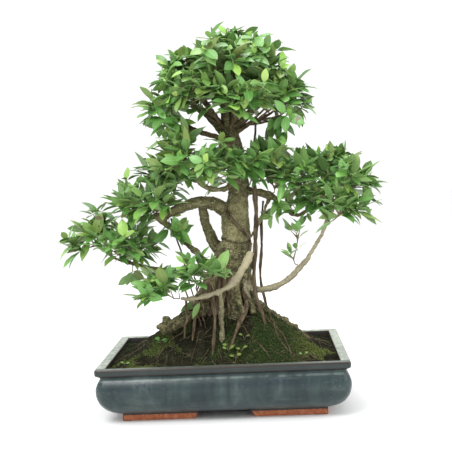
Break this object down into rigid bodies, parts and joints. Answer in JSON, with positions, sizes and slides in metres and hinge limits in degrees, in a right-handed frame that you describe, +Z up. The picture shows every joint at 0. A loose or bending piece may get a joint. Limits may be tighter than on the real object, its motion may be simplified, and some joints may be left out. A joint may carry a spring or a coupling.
{
  "type": "bonsai tree in pot",
  "caption": "Fig bonsai with a domed crown, spreading leaf pads, a thick trunk and hanging aerial roots, on a mossy mound in a low glazed rectangular tray.",
  "frame": {"origin": "On the floor, under the middle of the whole plant's bounding box in X and Y. The tray's own centre is about 4 mm to the right of it and 23 mm in front of it.", "axes": "+Z up, along the tree's height. +X to the viewer's right along the tray's long side. -Y is the front, so +Y points to the back."},
  "size_m": [0.7012, 0.4222, 0.7997],
  "materials": {
    "blue_green_glaze": "gloss",
    "black_mesh": "matte",
    "dark_soil": "matte",
    "moss": "matte",
    "pale_bark": "matte",
    "root_bark": "matte",
    "fig_leaf": "satin"
  },
  "bodies": {
    "root": {"aerial_root_front": "pale_bark", "aerial_root_front_left": "root_bark", "aerial_root_front_right": "root_bark", "aerial_root_left": "root_bark", "aerial_root_long": "root_bark", "aerial_root_twin": "root_bark", "back_spray": "fig_leaf", "branch_back": "pale_bark", "branch_front_upper": "pale_bark", "branch_left": "pale_bark", "branch_left_inner": "pale_bark", "branch_low_front": "pale_bark", "branch_low_left": "pale_bark", "branch_low_right": "pale_bark", "branch_right": "pale_bark", "crown_branch_back": "pale_bark", "crown_branch_front": "pale_bark", "crown_branch_left": "pale_bark", "crown_branch_right": "pale_bark", "crown_branch_top": "pale_bark", "crown_spray_back": "fig_leaf", "crown_spray_front": "fig_leaf", "crown_spray_front_top": "fig_leaf", "crown_spray_left_front": "fig_leaf", "crown_spray_left_low": "fig_leaf", "crown_spray_left_top": "fig_leaf", "crown_spray_right_back": "fig_leaf", "crown_spray_right_low": "fig_leaf", "crown_spray_right_top": "fig_leaf", "crown_spray_top": "fig_leaf", "drainage_mesh_left": "black_mesh", "drainage_mesh_right": "black_mesh", "front_spray_inner": "fig_leaf", "front_spray_tip": "fig_leaf", "left_spray_back": "fig_leaf", "left_spray_front": "fig_leaf", "left_spray_inner": "fig_leaf", "left_spray_tip": "fig_leaf", "low_left_spray_back": "fig_leaf", "low_left_spray_front": "fig_leaf", "low_left_spray_tip": "fig_leaf", "middle_spray_front": "fig_leaf", "middle_spray_left": "fig_leaf", "middle_spray_right": "fig_leaf", "moss_left": "moss", "moss_right": "moss", "pot": "blue_green_glaze", "prop_root_left": "pale_bark", "prop_root_right": "pale_bark", "right_spray_back": "fig_leaf", "right_spray_front": "fig_leaf", "right_spray_hanging": "fig_leaf", "right_spray_inner": "fig_leaf", "right_spray_tip": "fig_leaf", "right_spray_top": "fig_leaf", "right_twig": "fig_leaf", "soil": "dark_soil", "surface_root_left": "pale_bark", "surface_root_right": "pale_bark", "trunk": "pale_bark"}
  },
  "joints": []
}
